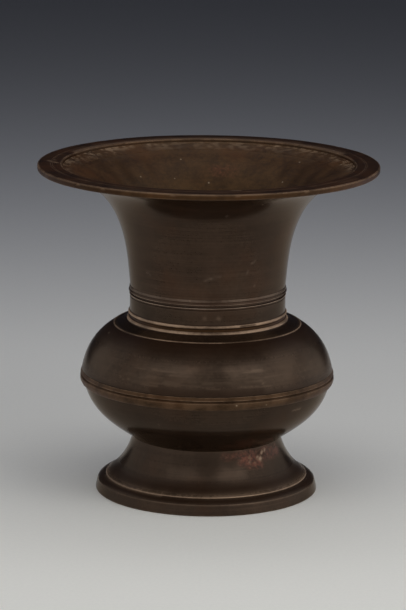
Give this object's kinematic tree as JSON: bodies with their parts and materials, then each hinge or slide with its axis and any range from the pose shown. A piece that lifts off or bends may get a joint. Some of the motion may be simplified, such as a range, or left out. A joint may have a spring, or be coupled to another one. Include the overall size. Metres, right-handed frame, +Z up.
{
  "type": "bronze flaring-mouth vessel",
  "caption": "Squat turned bronze vessel with a broad flat lip, trumpet neck, plain collar, girdled round belly, narrow waist and flared hollow foot, soldered from turned sections.",
  "frame": {"origin": "middle of the foot's standing face, on the axis of revolution", "axes": "+Z up along the axis of revolution; the side seen in the picture faces -Y"},
  "size_m": [0.1536, 0.1536, 0.15],
  "materials": {
    "patinated_bronze": "dark brown waxed patina, semi-gloss, worn lighter on the turned edges",
    "soft_solder": "dull grey-brown tin and lead solder, crusted where it shows"
  },
  "bodies": {
    "root": {"mouth_rim": "patinated_bronze", "mouth_solder": "soft_solder", "neck": "patinated_bronze", "neck_ring": "patinated_bronze", "neck_solder": "soft_solder", "upper_belly": "patinated_bronze", "belly_girdle": "patinated_bronze", "belly_solder": "soft_solder", "lower_belly": "patinated_bronze", "foot_solder": "soft_solder", "foot": "patinated_bronze"}
  },
  "joints": []
}
